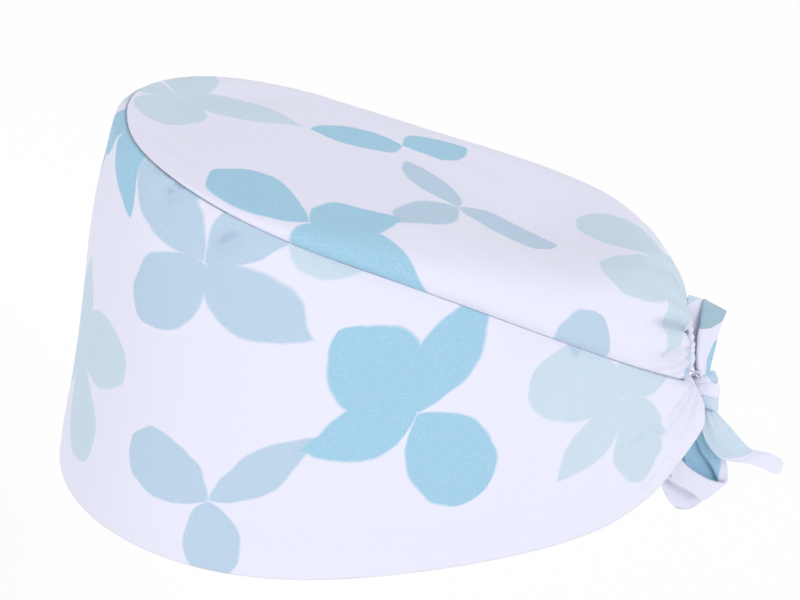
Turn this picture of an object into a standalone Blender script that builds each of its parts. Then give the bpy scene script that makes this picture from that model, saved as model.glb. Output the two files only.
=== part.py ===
import bpy
import bmesh
import math
import numpy as np

# Surgical scrub cap in its worn form: front towards -Y, tie towards +Y, origin at the centre of the hem

# Cloth
CLOTH = 0.0016              # wall of crown and side band
TAPE = 0.0013               # thickness of the folded tie
GAP = 0.0003                # clearance between neighbouring pieces

# Hem, seen from above
HEM_HALF_WIDTH = 0.084
HEM_FRONT = 0.105
HEM_REAR = 0.128
HEM_ROUND = 2.13
HEM_FRONT_LIFT = 0.009      # the front of the hem curls up

# Seam between side band and crown
SEAM_HALF_WIDTH = 0.070
SEAM_MIDDLE = 0.0002
SEAM_FRONT = 0.0727
SEAM_REAR = 0.1325
SEAM_ROUND_FRONT = 2.28
SEAM_ROUND_REAR = 2.47
SEAM_HEIGHT = 0.1145        # over the hem plane at the middle
SEAM_SLOPE = 0.458
SEAM_CURVE = 0.66           # extra fall per metre squared of depth
SEAM_CURL = 19.0            # extra fall per metre cubed, divided by ten
SEAM_REAR_DIP = 0.0045

# Crown
CROWN_CENTRE = 0.066        # where the crown's rows meet, behind the origin
CROWN_RISE_FRONT = 0.0085
CROWN_RISE_SIDE = 0.0041
CROWN_RISE_REAR = 0.0545
CROWN_SHOULDER = 4.60
CROWN_REAR_SHOULDER = 1.4   # added to the shoulder at the rear
CROWN_FLATNESS = 2.72
FINE_STRIP = 0.026          # strip above the seam with close rows
FINE_ROWS = 12
WIDE_ROWS = 10

# Side band
BAND_BELLY = 0.0055
BAND_FRONT_BELLY = -0.0028
BAND_SHOULDER = 0.26        # share of the inward lean that is kept for the top
BAND_FRONT_SHOULDER = 0.37
BAND_SHOULDER_POWER = 7.0
BAND_ROWS = 9

# Rear end of the side band: rises and reaches out to the knot
REAR_RISE = 0.030
REAR_REACH = 0.0135
# share across the hem's half width, share of the rise, share of the reach
REAR_HEM = (
    (0.000, 0.80, 0.50),
    (0.060, 0.78, 0.60),
    (0.100, 0.72, 0.76),
    (0.125, 0.58, 0.92),
    (0.150, 0.45, 1.00),
    (0.178, 0.35, 0.97),
    (0.214, 0.28, 0.82),
    (0.286, 0.18, 0.54),
    (0.381, 0.09, 0.27),
    (0.500, 0.03, 0.12),
    (0.650, 0.00, 0.00),
)

# Puckered rear end of the crown and its casing
PUCKER_ABOVE_SEAM = 0.0122
CASING_RADIUS = 0.0103
CASING_HALF_DEPTH = 0.0011
CASING_HALF_WIDTH = 0.0017
CASING_WAVES = 20
CASING_WAVE = 0.16          # share of the casing's half depth
PUCKER_DEPTH = 0.0030
PUCKER_FOLDS = 12
PUCKER_FOLD = 0.0007
PUCKER_REACH = 0.030

# Tie
TIE_WIDTH = 0.0145
KNOT_CENTRE = (0.0032, 0.1422, 0.0182)
KNOT_HALF = (0.0078, 0.0056, 0.0078)
KNOT_WRAPS = 3
KNOT_GROOVE = 0.10
KNOT_SQUARE = 0.75

# Routes of the tape from the knot's centre: right, back and up as shares of LOOP_LENGTH, the
# direction of the tape's width, and its width as a share of TIE_WIDTH. The height of a row
# that starts or ends at the knot comes from the knot's own surface.
LOOP_LENGTH = 0.040
# right, back, up, width right, width back, width up, width
UPPER_LOOP = (
    (0.03, -0.02, 0.22, 0.30, 0.95, 0.00, 0.36),
    (0.02, -0.03, 0.42, 0.25, 0.97, -0.05, 0.62),
    (0.00, -0.03, 0.62, 0.22, 0.95, -0.22, 0.88),
    (-0.05, -0.01, 0.81, 0.20, 0.92, -0.34, 1.02),
    (-0.12, -0.01, 0.87, 0.18, 0.91, -0.38, 1.04),
    (-0.20, -0.01, 0.82, 0.18, 0.92, -0.34, 1.02),
    (-0.23, -0.02, 0.62, 0.15, 0.96, -0.22, 0.88),
    (-0.17, -0.02, 0.42, 0.10, 0.99, -0.08, 0.62),
    (-0.10, 0.00, 0.22, 0.05, 1.00, 0.00, 0.36),
)
LOWER_LOOP = (
    (-0.10, 0.02, -0.22, 0.75, 0.60, 0.00, 0.38),
    (-0.16, 0.07, -0.40, 0.55, 0.45, 0.40, 0.60),
    (-0.16, 0.16, -0.66, 0.35, 0.30, 0.75, 0.84),
    (-0.09, 0.24, -0.88, 0.20, 0.10, 0.97, 0.90),
    (0.04, 0.24, -0.99, 0.30, -0.05, 0.95, 0.92),
    (0.15, 0.09, -1.00, 0.35, -0.15, 0.92, 0.94),
    (0.24, -0.12, -0.93, 0.30, -0.25, 0.92, 0.94),
    (0.26, -0.28, -0.78, 0.20, -0.45, 0.86, 0.90),
    (0.19, -0.29, -0.58, 0.05, -0.72, 0.68, 0.74),
    (0.10, -0.17, -0.38, 0.25, -0.75, 0.45, 0.54),
    (0.06, -0.02, -0.22, 0.85, -0.50, 0.00, 0.36),
)
NEAR_TAIL = (
    (0.09, 0.06, -0.20, 0.90, 0.40, 0.10, 0.34),
    (0.13, 0.14, -0.30, 0.60, 0.72, 0.30, 0.62),
    (0.17, 0.24, -0.44, 0.30, 0.82, 0.50, 0.86),
    (0.21, 0.34, -0.56, 0.10, 0.60, 0.79, 0.84),
    (0.25, 0.46, -0.63, -0.10, 0.25, 0.96, 0.66),
    (0.27, 0.59, -0.67, -0.05, 0.12, 0.99, 0.60),
    (0.28, 0.70, -0.70, 0.00, 0.12, 0.99, 0.62),
)
FAR_TAIL = (
    (-0.05, -0.06, -0.22, 0.95, -0.20, 0.00, 0.34),
    (-0.12, -0.15, -0.40, 0.85, -0.50, 0.10, 0.60),
    (-0.16, -0.22, -0.64, 0.65, -0.72, 0.20, 0.84),
    (-0.15, -0.23, -0.88, 0.45, -0.84, 0.30, 0.92),
    (-0.13, -0.19, -1.09, 0.40, -0.85, 0.34, 0.92),
    (-0.11, -0.12, -1.26, 0.40, -0.85, 0.34, 0.90),
)
TAPE_STEPS = 4

for old in list(bpy.data.objects):
    bpy.data.objects.remove(old, do_unlink=True)


def material(name, colour, roughness):
    mat = bpy.data.materials.new(name)
    mat.use_nodes = True
    shader = mat.node_tree.nodes["Principled BSDF"]
    shader.inputs["Base Color"].default_value = colour
    shader.inputs["Roughness"].default_value = roughness
    shader.inputs["Metallic"].default_value = 0.0
    return mat


def solid(name, points, faces, mat):
    mesh = bpy.data.meshes.new(name)
    mesh.from_pydata([tuple(p) for p in points], [], faces)
    work = bmesh.new()
    work.from_mesh(mesh)
    bmesh.ops.recalc_face_normals(work, faces=work.faces)
    work.to_mesh(mesh)
    work.free()
    mesh.materials.append(mat)
    obj = bpy.data.objects.new(name, mesh)
    bpy.context.scene.collection.objects.link(obj)
    return obj


def unit(vectors):
    length = np.linalg.norm(vectors, axis=-1, keepdims=True)
    return vectors / np.maximum(length, 1e-12)


def columns():
    # Angles round the cap from the front, close together at the rear
    near_rear = [0, 1, 2, 3, 4.5, 6, 8, 10.5, 14, 18, 23, 29, 36, 44]
    rest = list(np.linspace(52, 180, 17))
    away = near_rear + rest
    right = [180 - a for a in reversed(away)]
    left = [180 + a for a in away[1:-1]]
    return np.radians(np.array(right + left))


def plan(angle, half_width, front, rear, round_front, round_rear, middle):
    c, s = np.cos(angle), np.sin(angle)
    reach = np.where(c > 0, front, rear)
    power = 2.0 / np.where(c > 0, round_front, round_rear)
    x = half_width * np.sign(s) * np.abs(s) ** power
    y = middle - reach * np.sign(c) * np.abs(c) ** power
    return x, y


def seam_sheet(y):
    return SEAM_HEIGHT - SEAM_SLOPE * y - SEAM_CURVE * y ** 2 - SEAM_CURL * y ** 3 / 10


def seam(angle):
    x, y = plan(angle, SEAM_HALF_WIDTH, SEAM_FRONT, SEAM_REAR, SEAM_ROUND_FRONT, SEAM_ROUND_REAR, SEAM_MIDDLE)
    dip = SEAM_REAR_DIP * ((1 - np.cos(angle)) / 2) ** 12
    return np.stack([x, y, seam_sheet(y) - dip], -1)


def hem(angle):
    x, y = plan(angle, HEM_HALF_WIDTH, HEM_FRONT, HEM_REAR, HEM_ROUND, HEM_ROUND, 0.0)
    z = HEM_FRONT_LIFT * np.clip(np.cos(angle), 0, 1) ** 2
    table = np.array(REAR_HEM)
    share = np.where(np.cos(angle) < 0, np.abs(x) / HEM_HALF_WIDTH, 1.0)
    z = z + REAR_RISE * np.interp(share, table[:, 0], table[:, 1])
    y = y + REAR_REACH * np.interp(share, table[:, 0], table[:, 2])
    return np.stack([x, y, z], -1)


def crown_rise(angle):
    rear = (1 - np.cos(angle)) / 2
    return (CROWN_RISE_FRONT * (1 - rear) ** 2 + 2 * CROWN_RISE_SIDE * rear * (1 - rear)
            + CROWN_RISE_REAR * rear ** 2)


def pucker_centre():
    rear = seam(np.array([math.pi]))[0]
    return rear[2] + PUCKER_ABOVE_SEAM


def crown_line(angle):
    # One line of the crown from the seam to where all lines meet
    start = seam(np.array([angle]))[0]
    rise = crown_rise(angle)
    shoulder = CROWN_SHOULDER + CROWN_REAR_SHOULDER * ((1 - math.cos(angle)) / 2) ** 2
    middle = (CROWN_RISE_FRONT + 2 * CROWN_RISE_SIDE + CROWN_RISE_REAR) / 4
    turn = np.linspace(0, math.pi / 2, 240) ** 1.5 / (math.pi / 2) ** 0.5
    share = np.clip(np.cos(turn), 0, 1) ** (2 / shoulder)
    share[-1] = 0.0
    lift = np.sin(turn) ** (2 / CROWN_FLATNESS)
    x = start[0] * share
    y = CROWN_CENTRE + (start[1] - CROWN_CENTRE) * share
    here = rise * share ** 1.5 + middle * (1 - share ** 1.5)
    dip = (seam_sheet(start[1]) - start[2]) * share ** 8
    z = seam_sheet(y) - dip + here * lift
    line = np.stack([x, y, z], -1)
    run = np.concatenate([[0], np.cumsum(np.linalg.norm(np.diff(line, axis=0), axis=1))])
    near = GAP / 2 + (FINE_STRIP - GAP / 2) * np.linspace(0, 1, FINE_ROWS + 1)
    far = FINE_STRIP + (run[-1] - FINE_STRIP) * np.linspace(0, 1, WIDE_ROWS + 1)[1:-1]
    stops = np.concatenate([near, far])
    return np.stack([np.interp(stops, run, line[:, i]) for i in range(3)], -1), line[-1]


def round_normals(grid, outward):
    across = np.roll(grid, -1, axis=1) - np.roll(grid, 1, axis=1)
    along = np.gradient(grid, axis=0)
    normal = unit(np.cross(along, across))
    flip = np.sign(np.sum(normal * outward, axis=-1, keepdims=True))
    return normal * np.where(flip == 0, 1, flip)


def crown_grid(angle):
    lines = [crown_line(a) for a in angle]
    grid = np.stack([line[0] for line in lines], axis=1)
    top = lines[0][1]
    hub = np.array([0, CROWN_CENTRE, 0.03])
    normal = round_normals(grid, grid - hub)
    centre = pucker_centre()
    dx = grid[..., 0]
    dz = grid[..., 2] - centre
    r = np.hypot(dx, dz)
    rear = np.clip((grid[..., 1] - (CROWN_CENTRE + 0.03)) / 0.02, 0, 1)
    hollow = -PUCKER_DEPTH * np.clip(1 - (r / CASING_RADIUS) ** 2, 0, 1) ** 2
    fade = np.clip((PUCKER_REACH - r) / (PUCKER_REACH - CASING_RADIUS), 0, 1) ** 1.5
    fade = fade * np.clip((r / CASING_RADIUS - 1) / 0.35, 0, 1)
    from_seam = np.linspace(0, 1, FINE_ROWS + WIDE_ROWS)[:, None]
    fade = fade * np.clip(from_seam * 6, 0, 1)
    folds = PUCKER_FOLD * fade * np.cos(PUCKER_FOLDS * np.arctan2(dx, dz))
    grid = grid + normal * ((hollow + folds) * rear)[..., None]
    return grid, top, hub


def band_grid(angle):
    low, high = hem(angle), seam(angle)
    t = np.linspace(0, 1, BAND_ROWS)[:, None]
    front = np.clip(np.cos(angle), 0, 1) ** 2
    kept = BAND_SHOULDER + (BAND_FRONT_SHOULDER - BAND_SHOULDER) * front
    lean = t * (1 - kept) + kept * t ** BAND_SHOULDER_POWER
    tall = np.clip((high[:, 2] - low[:, 2]) / SEAM_HEIGHT, 0, 1)
    belly = (BAND_BELLY * (1 - front) + BAND_FRONT_BELLY * front) * tall * 4 * t * (1 - t)
    x = low[:, 0] + (high[:, 0] - low[:, 0]) * lean + belly * np.sin(angle)
    y = low[:, 1] + (high[:, 1] - low[:, 1]) * lean - belly * np.cos(angle)
    z = low[:, 2] + (high[:, 2] - low[:, 2]) * t
    grid = np.stack([x, y, z], -1)
    # The top row stops short of the seam
    last = grid[-1] - grid[-2]
    grid[-1] = grid[-1] - unit(last) * GAP
    return grid


def shell_faces(rows, count, capped):
    def at(layer, row, column):
        return layer * rows * count + row * count + column % count
    faces = []
    for layer in (0, 1):
        for row in range(rows - 1):
            for column in range(count):
                faces.append((at(layer, row, column), at(layer, row, column + 1),
                              at(layer, row + 1, column + 1), at(layer, row + 1, column)))
    for column in range(count):
        faces.append((at(0, 0, column), at(0, 0, column + 1), at(1, 0, column + 1), at(1, 0, column)))
        if capped:
            for layer in (0, 1):
                tip = 2 * rows * count + layer
                faces.append((at(layer, rows - 1, column), at(layer, rows - 1, column + 1), tip))
        else:
            row = rows - 1
            faces.append((at(0, row, column), at(0, row, column + 1), at(1, row, column + 1), at(1, row, column)))
    return faces


def build_shells(cloth):
    angle = columns()
    crown, top, hub = crown_grid(angle)
    band = band_grid(angle)
    crown_normal = round_normals(crown, crown - hub)
    axis = band * np.array([1, 1, 0]) - np.array([0, 0.02, 0])
    band_normal = round_normals(band, axis)
    shared = unit(crown_normal[0] + band_normal[-1])
    crown_normal[0] = shared
    band_normal[-1] = shared
    inner = crown - crown_normal * CLOTH
    rows, count = crown.shape[:2]
    points = np.concatenate([crown.reshape(-1, 3), inner.reshape(-1, 3), [top], [top - np.array([0, 0, CLOTH])]])
    solid("crown", points, shell_faces(rows, count, True), cloth)
    inner = band - band_normal * CLOTH
    rows, count = band.shape[:2]
    points = np.concatenate([band.reshape(-1, 3), inner.reshape(-1, 3)])
    solid("side_band", points, shell_faces(rows, count, False), cloth)


def build_casing(cloth):
    around, across = 80, 6
    centre = pucker_centre()
    points = []
    for i in range(around):
        turn = 2 * math.pi * i / around
        wave = 1 + CASING_WAVE * math.cos(CASING_WAVES * turn)
        for j in range(across):
            ring = 2 * math.pi * j / across
            radius = CASING_RADIUS + CASING_HALF_WIDTH * math.cos(ring)
            x = radius * math.sin(turn)
            z = centre + radius * math.cos(turn)
            y = casing_base(x, z) + CASING_HALF_DEPTH * (1 + wave * math.sin(ring) + CASING_WAVE)
            points.append((x, y, z))
    faces = []
    for i in range(around):
        for j in range(across):
            a, b = i * across, ((i + 1) % around) * across
            k = (j + 1) % across
            faces.append((a + j, a + k, b + k, b + j))
    solid("rear_casing", points, faces, cloth)


def casing_base(x, z):
    # Rear face of the crown at a place across and up, plus the clearance
    line, tip = crown_line(math.pi)
    order = np.argsort(line[:, 2][:FINE_ROWS + 1])
    y = float(np.interp(z, line[order, 2], line[order, 1]))
    side = (abs(x) / SEAM_HALF_WIDTH) ** SEAM_ROUND_REAR
    back = SEAM_REAR * (1 - side) ** (1 / SEAM_ROUND_REAR) - SEAM_REAR
    return y + back + GAP


def smooth_rows(rows, steps):
    rows = np.array(rows, float)
    padded = np.concatenate([[2 * rows[0] - rows[1]], rows, [2 * rows[-1] - rows[-2]]])
    out = []
    for i in range(len(rows) - 1):
        a, b, c, d = padded[i:i + 4]
        for k in range(steps):
            t = k / steps
            out.append(0.5 * (2 * b + (c - a) * t + (2 * a - 5 * b + 4 * c - d) * t * t
                              + (3 * b - a - 3 * c + d) * t ** 3))
    out.append(rows[-1])
    return np.array(out)


def knot_surface(right, back):
    # Height of the knot's surface over its centre at a place across and back, with the clearance
    share = math.hypot(right * LOOP_LENGTH / KNOT_HALF[0], back * LOOP_LENGTH / KNOT_HALF[1])
    height = KNOT_HALF[2] * math.sqrt(max(0.0, 1 - share ** (2 / KNOT_SQUARE)))
    return (height + GAP + TAPE * 0.2) / LOOP_LENGTH


def build_tape(name, rows, cloth, seated):
    rows = [list(row) for row in rows]
    for place in seated:
        right, back, up = rows[place][:3]
        rows[place][2] = math.copysign(knot_surface(right, back), up)
    rows = smooth_rows(rows, TAPE_STEPS)
    centre = np.array(KNOT_CENTRE) + rows[:, :3] * LOOP_LENGTH
    along = unit(np.gradient(centre, axis=0))
    wide = rows[:, 3:6]
    wide = unit(wide - along * np.sum(wide * along, axis=1, keepdims=True))
    face = np.cross(along, wide)
    half = rows[:, 6:7] * TIE_WIDTH / 2
    section = ((-1.0, 0.0), (-0.94, 0.5), (0.0, 0.5), (0.94, 0.5), (1.0, 0.0), (0.94, -0.5), (0.0, -0.5), (-0.94, -0.5))
    points = []
    for i in range(len(centre)):
        for across, up in section:
            points.append(centre[i] + wide[i] * half[i] * across + face[i] * TAPE * up)
    faces = []
    size = len(section)
    for i in range(len(centre) - 1):
        for j in range(size):
            k = (j + 1) % size
            faces.append((i * size + j, i * size + k, (i + 1) * size + k, (i + 1) * size + j))
    faces.append(tuple(range(size)))
    last = (len(centre) - 1) * size
    faces.append(tuple(last + j for j in reversed(range(size))))
    solid(name, points, faces, cloth)


def build_knot(cloth):
    rings, count = 15, 28
    cx, cy, cz = KNOT_CENTRE
    hx, hy, hz = KNOT_HALF
    points = []
    for i in range(1, rings):
        polar = math.pi * i / rings
        for j in range(count):
            turn = 2 * math.pi * j / count
            flat = math.sin(polar) ** KNOT_SQUARE
            x = flat * math.cos(turn)
            y = flat * math.sin(turn)
            z = math.cos(polar)
            tilt = z + 0.28 * x
            groove = 1 - KNOT_GROOVE * (0.5 + 0.5 * math.cos(math.pi * KNOT_WRAPS * (tilt + 1))) ** 3 * flat
            points.append((cx + hx * x * groove, cy + hy * y * groove, cz + hz * z))
    points.append((cx, cy, cz + hz))
    points.append((cx, cy, cz - hz))
    top, bottom = len(points) - 2, len(points) - 1
    faces = []
    for i in range(rings - 2):
        for j in range(count):
            k = (j + 1) % count
            faces.append((i * count + j, i * count + k, (i + 1) * count + k, (i + 1) * count + j))
    for j in range(count):
        k = (j + 1) % count
        faces.append((top, j, k))
        last = (rings - 2) * count
        faces.append((bottom, last + k, last + j))
    solid("knot", points, faces, cloth)


def build_cap():
    printed = material("printed_cotton", (0.80, 0.86, 0.93, 1.0), 0.85)
    tie = material("tie_cotton", (0.76, 0.84, 0.92, 1.0), 0.85)
    build_shells(printed)
    build_casing(printed)
    build_knot(tie)
    build_tape("upper_loop", UPPER_LOOP, tie, (0, -1))
    build_tape("lower_loop", LOWER_LOOP, tie, (0, -1))
    build_tape("near_tail", NEAR_TAIL, tie, (0,))
    build_tape("far_tail", FAR_TAIL, tie, (0,))


build_cap()
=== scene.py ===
import bpy
import math
import numpy as np
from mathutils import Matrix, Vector


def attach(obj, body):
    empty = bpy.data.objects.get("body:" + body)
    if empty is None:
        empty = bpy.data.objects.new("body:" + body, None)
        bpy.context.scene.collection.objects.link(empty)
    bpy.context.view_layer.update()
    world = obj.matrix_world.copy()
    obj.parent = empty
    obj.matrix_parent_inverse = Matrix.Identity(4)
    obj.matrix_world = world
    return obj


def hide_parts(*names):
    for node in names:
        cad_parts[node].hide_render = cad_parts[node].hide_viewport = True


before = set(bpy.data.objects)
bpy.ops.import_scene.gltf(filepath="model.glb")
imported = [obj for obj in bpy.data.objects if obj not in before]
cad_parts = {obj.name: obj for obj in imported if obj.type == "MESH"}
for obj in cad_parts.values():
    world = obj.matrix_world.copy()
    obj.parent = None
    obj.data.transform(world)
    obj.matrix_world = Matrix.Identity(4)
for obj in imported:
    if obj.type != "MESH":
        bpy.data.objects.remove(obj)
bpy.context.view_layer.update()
print("frame loaded")

# Camera and studio

cameraSet = {
    "azimuth": 81.0,  # degrees round from the front, the wearer's left side
    "elevation": 27.3,
    "distance": 1.0,
    "lens": 121.2,
    "lookAt": (0.0, 0.024, 0.0657),
}


def skyPoint(wish):
    turn, lift = math.radians(wish["azimuth"]), math.radians(wish["elevation"])
    return Vector((math.sin(turn) * math.cos(lift), -math.cos(turn) * math.cos(lift), math.sin(lift)))


def standUp(data, place, toward):
    # A camera or lamp at its place, looking along a direction
    item = bpy.data.objects.new(data.name, data)
    bpy.context.scene.collection.objects.link(item)
    item.location = place
    item.rotation_euler = toward.to_track_quat("-Z", "Y").to_euler()
    return item


def setCamera(wish):
    back = skyPoint(wish)
    data = bpy.data.cameras.new("studioCamera")
    data.lens = wish["lens"]
    data.clip_start, data.clip_end = 0.01, 20
    bpy.context.scene.camera = standUp(data, Vector(wish["lookAt"]) + back * wish["distance"], -back)


setCamera(cameraSet)

studioSet = {
    "floorDrop": 0.34,  # floor below the hem, since a head holds the cap up
    "floorSize": 30.0,
    "white": (1.0, 1.0, 1.0, 1),
    "skyStrength": 0.85,
    "sun": {"azimuth": 118.0, "elevation": 27.0, "strength": 0.88, "softness": 24.0},
    "lamp": {"place": (0.55, -1.7, 0.45), "aim": (0, 0.02, 0.06), "size": 0.9, "power": 4.2},
}


def deselectAll():
    bpy.ops.object.select_all(action="DESELECT")


def pickOnly(piece):
    deselectAll()
    piece.select_set(True)
    bpy.context.view_layer.objects.active = piece


def setStudio(wish):
    deselectAll()
    bpy.ops.mesh.primitive_plane_add(size=wish["floorSize"], location=(0, 0, -wish["floorDrop"]))
    floor = bpy.context.object
    floor.name = "studioFloor"
    bpy.ops.object.transform_apply(location=True, rotation=True, scale=True)
    paint = bpy.data.materials.new("paleFloor")
    paint.use_nodes = True
    shader = paint.node_tree.nodes["Principled BSDF"]
    shader.inputs["Base Color"].default_value = wish["white"]
    shader.inputs["Roughness"].default_value = 0.9
    floor.data.materials.append(paint)
    world = bpy.data.worlds.new("studioSky")
    world.use_nodes = True
    sky = world.node_tree.nodes["Background"].inputs
    sky["Color"].default_value, sky["Strength"].default_value = wish["white"], wish["skyStrength"]
    bpy.context.scene.world = world
    lamp, sun = wish["lamp"], wish["sun"]
    data = bpy.data.lights.new("frontLamp", "AREA")
    data.size, data.energy = lamp["size"], lamp["power"]
    standUp(data, lamp["place"], Vector(lamp["aim"]) - Vector(lamp["place"]))
    data = bpy.data.lights.new("keySun", "SUN")
    data.energy, data.angle = sun["strength"], math.radians(sun["softness"])
    standUp(data, skyPoint(sun) * 2, -skyPoint(sun))
    bpy.context.scene.view_settings.view_transform = "Standard"


setStudio(studioSet)
print("camera and studio set")

# Shader bench: Python expressions on sockets add the maths nodes


class Wire:
    def __init__(self, bench, socket):
        self.bench, self.socket = bench, socket

    def maths(self, operation, *values):
        return self.bench.add("Math", {"operation": operation}, dict(enumerate(values)))[0]

    def __add__(self, other):
        return self.maths("ADD", self, other)

    __radd__ = __add__

    def __sub__(self, other):
        return self.maths("SUBTRACT", self, other)

    def __rsub__(self, other):
        return self.maths("SUBTRACT", other, self)

    def __mul__(self, other):
        return self.maths("MULTIPLY", self, other)

    __rmul__ = __mul__

    def __truediv__(self, other):
        return self.maths("DIVIDE", self, other)

    def __pow__(self, other):
        return self.maths("POWER", self, other)

    def __abs__(self):
        return self.maths("ABSOLUTE", self)

    def top(self, other):
        return self.maths("MAXIMUM", self, other)

    def clamped(self):
        return self.bench.add("Clamp", {}, {0: self})[0]

    def wave(self):
        return self.maths("SINE", self)

    def wrapped(self, low, high):
        return self.maths("WRAP", self, low, high)


class Bench:
    def __init__(self, name):
        self.material = bpy.data.materials.new(name)
        self.material.use_nodes = True
        self.tree = self.material.node_tree
        self.shader = self.tree.nodes["Principled BSDF"]

    def feed(self, socket, value):
        if isinstance(value, Wire):
            self.tree.links.new(value.socket, socket)
        else:
            socket.default_value = value

    def add(self, kind, settings, sockets):
        node = self.tree.nodes.new("ShaderNode" + kind)
        for key, value in settings.items():
            setattr(node, key, value)
        for key, value in sockets.items():
            self.feed(node.inputs[key], value)
        return [Wire(self, socket) for socket in node.outputs]

    def mix(self, share, low, high):
        return self.add("Mix", {"data_type": "RGBA"}, {0: share, 6: low, 7: high})[2]

    def noise(self, vector, scale, detail=2.0, roughness=0.5, which=0):
        sockets = {"Vector": vector, "Scale": scale, "Detail": detail, "Roughness": roughness}
        return self.add("TexNoise", {}, sockets)[which]

    def layer(self, name):
        return self.add("UVMap", {"uv_map": name}, {})[0]

    def split(self, vector):
        return self.add("SeparateXYZ", {}, {0: vector})[:2]

    def joined(self, u, v=0.0):
        return self.add("CombineXYZ", {}, {0: u, 1: v})[0]

    def mapped(self, kind, vector, place=(0, 0), turn=0.0, scale=(1, 1)):
        return self.add("Mapping", {"vector_type": kind},
                        {"Vector": vector, "Location": (*place, 0), "Rotation": (0, 0, math.radians(turn)),
                         "Scale": (*scale, 1)})[0]


# The print: blossoms of five or four petals on a repeat of the cloth, UV in metres

printSet = {
    "repeatWide": 0.236,
    "repeatTall": 0.204,
    "ground": (0.735, 0.735, 0.865, 1),
    "sky": (0.33, 0.572, 0.74, 1),
    "pale": (0.465, 0.598, 0.742, 1),
    "mint": (0.565, 0.68, 0.785, 1),
    "shadedMint": (0.34, 0.49, 0.575, 1),  # mint darkened with painted shade, for the shaded top of the upper loop; only the tie shows it
    "edgeSoft": 0.03,
    "wobble": (26.0, 0.0045),  # how the outlines stray: noise scale and reach
    "ripple": (95.0, 0.0013),
    # tint, across, up, turn in degrees, size, petal set
    "blossoms": (
        ("mint", 0.03, 0.048, 20, 1.02, "open"),
        ("pale", 0.098, 0.112, -35, 1.02, "cross"),
        ("sky", 0.184, 0.06, 75, 1.02, "fan"),
        ("mint", 0.202, 0.16, 150, 0.96, "cross"),
        ("sky", 0.038, 0.15, -60, 0.92, "spread"),
        ("pale", 0.116, 0.024, 40, 0.92, "sprig"),
        ("sky", 0.118, 0.18, 200, 0.8, "pair"),
        ("pale", 0.232, 0.108, -80, 0.8, "sprig"),
        ("mint", 0.156, 0.116, 10, 0.76, "pair"),
    ),
    # angle, length, width, shoulder, tip
    "petals": {
        "open": ((0, 0.042, 0.027, 0.85, 0.45), (62, 0.038, 0.021, 0.75, 1.15), (134, 0.047, 0.026, 0.95, 0.6),
                 (206, 0.034, 0.02, 0.75, 1.05), (288, 0.044, 0.025, 0.85, 0.5)),
        "cross": ((8, 0.052, 0.025, 0.8, 1.2), (92, 0.038, 0.027, 0.85, 0.5), (178, 0.051, 0.024, 1.0, 1.0),
                  (268, 0.036, 0.029, 0.75, 0.7)),
        "fan": ((0, 0.048, 0.025, 0.8, 1.25), (62, 0.045, 0.03, 0.85, 0.75), (122, 0.04, 0.023, 0.75, 1.15),
                (234, 0.044, 0.029, 0.85, 0.5)),
        "spread": ((4, 0.047, 0.021, 0.8, 0.95), (76, 0.041, 0.027, 0.75, 0.55), (160, 0.045, 0.022, 0.85, 0.9),
                   (222, 0.034, 0.024, 0.75, 0.55), (292, 0.041, 0.022, 0.8, 0.85)),
        "sprig": ((0, 0.05, 0.021, 0.85, 0.95), (118, 0.042, 0.027, 0.75, 0.6), (242, 0.039, 0.022, 0.8, 0.8)),
        "pair": ((0, 0.042, 0.024, 0.8, 0.7), (158, 0.047, 0.026, 0.8, 0.95)),
    },
}


def petalMask(bench, local, petal, size):
    angle, length, width, shoulder, tip = petal
    peak = shoulder / (shoulder + tip)
    crest = peak ** shoulder * (1 - peak) ** tip
    reach, half = length * size, width * size / 2 / crest
    along, across = bench.split(bench.mapped("TEXTURE", local, turn=angle, scale=(reach, half)))
    return along ** shoulder * (1 - along) ** tip - abs(across)


def blossomMasks(bench, uv, wish):
    right, upward = bench.split(uv)
    wide, tall = wish["repeatWide"] / 2, wish["repeatTall"] / 2
    masks = {}
    for tint, across, up, turn, size, shape in wish["blossoms"]:
        place = bench.joined((right - across).wrapped(-wide, wide), (upward - up).wrapped(-tall, tall))
        local = bench.mapped("TEXTURE", place, turn=turn)
        for petal in wish["petals"][shape]:
            mask = petalMask(bench, local, petal, size)
            masks[tint] = masks[tint].top(mask) if tint in masks else mask
    return {tint: (mask / wish["edgeSoft"]).clamped() for tint, mask in masks.items()}


clothSet = {
    "layStart": (0.5, 0.2),  # where the laid-out cloth begins on its UV
    "thread": 0.00118,  # pitch of the weave that shows
    "weftCloser": 1.12,
    "weaveShade": 0.045,
    "weaveColour": (0.12, 0.2, 0.32, 1),
    "inkedMore": 3.0,  # the weave shows this much more on the petals
    "patchScale": 45.0,  # noise that lets the weave come and go
    "threadScale": 1900.0,
    "crossScale": 1500.0,
    "heather": 0.3,  # pale threads in the petals
    "heatherColour": (0.8, 0.88, 0.95, 1),
    "hemShadowLine": 0.0009,  # painted shadow along the hem's lower edge: its width, and its colour below
    "hemShadowColour": (0.5, 0.42, 0.3, 1),
    # colour of the painted shade along the seam and down in the folds
    "seamShadeColour": (0.13, 0.19, 0.27, 1),
    "roughness": 0.88,
    "sheen": 0.12,
    "specular": 0.2,
    "bump": 0.35,
    "bumpHeight": 0.00012,
}


def wander(bench, raw, wish):
    moved = raw
    for scale, reach in (wish["wobble"], wish["ripple"]):
        steps = (("SUBTRACT", {1: (0.5, 0.5, 0.5)}), ("SCALE", {3: reach * 2}), ("ADD", {1: moved}))
        moved = bench.noise(raw, scale, 1.0, which=1)
        for operation, sockets in steps:
            moved = bench.add("VectorMath", {"operation": operation}, {0: moved, **sockets})[0]
    return moved


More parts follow.
